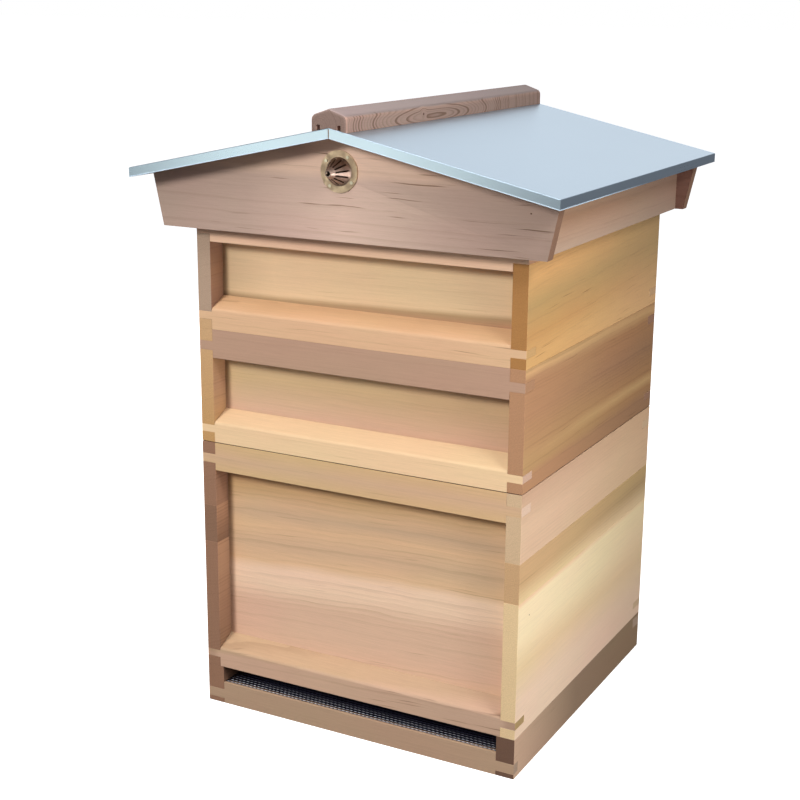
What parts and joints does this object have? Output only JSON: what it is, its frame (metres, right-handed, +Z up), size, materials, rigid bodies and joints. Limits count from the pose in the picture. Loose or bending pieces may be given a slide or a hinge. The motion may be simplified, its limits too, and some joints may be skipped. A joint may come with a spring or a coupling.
{
  "type": "beehive",
  "caption": "Square wooden beehive: mesh floor with slide-out tray, deep brood box, stacked supers with hung frames, crown board and gabled metal-covered roof with cone vents.",
  "frame": {"origin": "middle of the hive's square footprint, on the ground", "axes": "+Z up, entrance towards -Y, +X to the right seen from the front"},
  "size_m": [0.577, 0.568, 0.8194],
  "materials": {
    "cedar": "planed, unpainted",
    "roof_cedar": "planed, unpainted",
    "frame_wood": "planed pine",
    "roof_metal": "plain mill sheet",
    "steel": "zinc-coated",
    "brass": "stamped, satin",
    "wax": "embossed wax",
    "tray_plastic": "matt sheet"
  },
  "bodies": {
    "floor": {"floor_left_rail": "cedar", "floor_right_rail": "cedar", "floor_front_bar": "cedar", "floor_rear_rail": "cedar", "floor_mesh": "steel"},
    "tray": {"inspection_tray": "tray_plastic", "tray_pull": "cedar"},
    "brood_box": {"brood_left_wall": "cedar", "brood_right_wall": "cedar", "brood_front_panel": "cedar", "brood_rear_panel": "cedar", "brood_front_top_rail": "cedar", "brood_rear_top_rail": "cedar", "brood_front_bottom_rail": "cedar", "brood_rear_bottom_rail": "cedar", "brood_runners": "steel", "brood_runner_pins": "steel"},
    "brood_frame_set": {"brood_frames": "frame_wood", "brood_foundation": "wax"},
    "excluder": {"queen_excluder": "steel"},
    "lower_super": {"lower_super_left_wall": "cedar", "lower_super_right_wall": "cedar", "lower_super_front_panel": "cedar", "lower_super_rear_panel": "cedar", "lower_super_front_top_rail": "cedar", "lower_super_rear_top_rail": "cedar", "lower_super_front_bottom_rail": "cedar", "lower_super_rear_bottom_rail": "cedar", "lower_super_runners": "steel", "lower_super_runner_pins": "steel"},
    "lower_frame_set": {"lower_super_frames": "frame_wood", "lower_super_foundation": "wax"},
    "upper_super": {"upper_super_left_wall": "cedar", "upper_super_right_wall": "cedar", "upper_super_front_panel": "cedar", "upper_super_rear_panel": "cedar", "upper_super_front_top_rail": "cedar", "upper_super_rear_top_rail": "cedar", "upper_super_front_bottom_rail": "cedar", "upper_super_rear_bottom_rail": "cedar", "upper_super_runners": "steel", "upper_super_runner_pins": "steel"},
    "upper_frame_set": {"upper_super_frames": "frame_wood", "upper_super_foundation": "wax"},
    "crown_board": {"crown_panel": "cedar", "crown_side_bars": "cedar", "crown_end_bars": "cedar"},
    "roof": {"roof_front_gable": "roof_cedar", "roof_rear_gable": "roof_cedar", "roof_left_side_board": "roof_cedar", "roof_right_side_board": "roof_cedar", "roof_left_deck": "roof_cedar", "roof_right_deck": "roof_cedar", "roof_sheet": "roof_metal", "roof_cleats": "roof_cedar", "ridge_beam": "roof_cedar", "front_cone_vent": "brass", "rear_cone_vent": "brass", "vent_pins": "brass"}
  },
  "joints": [
    {"name": "tray_slide", "type": "slide", "parent": "floor", "child": "tray", "axis": [0, 1, 0], "range_m": [0, 0.43]},
    {"name": "brood_lift", "type": "slide", "parent": "floor", "child": "brood_box", "axis": [0, 0, 1], "range_m": [0, 0.06]},
    {"name": "excluder_lift", "type": "slide", "parent": "brood_box", "child": "excluder", "axis": [0, 0, 1], "range_m": [0, 0.37]},
    {"name": "brood_frames_lift", "type": "slide", "parent": "brood_box", "child": "brood_frame_set", "axis": [0, 0, 1], "range_m": [0, 0.333]},
    {"name": "lower_super_lift", "type": "slide", "parent": "excluder", "child": "lower_super", "axis": [0, 0, 1], "range_m": [0, 0.06]},
    {"name": "upper_super_lift", "type": "slide", "parent": "lower_super", "child": "upper_super", "axis": [0, 0, 1], "range_m": [0, 0.19]},
    {"name": "lower_frames_lift", "type": "slide", "parent": "lower_super", "child": "lower_frame_set", "axis": [0, 0, 1], "range_m": [0, 0.171]},
    {"name": "crown_lift", "type": "slide", "parent": "upper_super", "child": "crown_board", "axis": [0, 0, 1], "range_m": [0, 0.19]},
    {"name": "upper_frames_lift", "type": "slide", "parent": "upper_super", "child": "upper_frame_set", "axis": [0, 0, 1], "range_m": [0, 0.171]},
    {"name": "roof_lift", "type": "slide", "parent": "crown_board", "child": "roof", "axis": [0, 0, 1], "range_m": [0, 0.1]}
  ],
  "couplings": [
    {"joint": "brood_frames_lift", "follows": "excluder_lift", "ratio": 0.9},
    {"joint": "lower_frames_lift", "follows": "upper_super_lift", "ratio": 0.9},
    {"joint": "upper_frames_lift", "follows": "crown_lift", "ratio": 0.9}
  ]
}
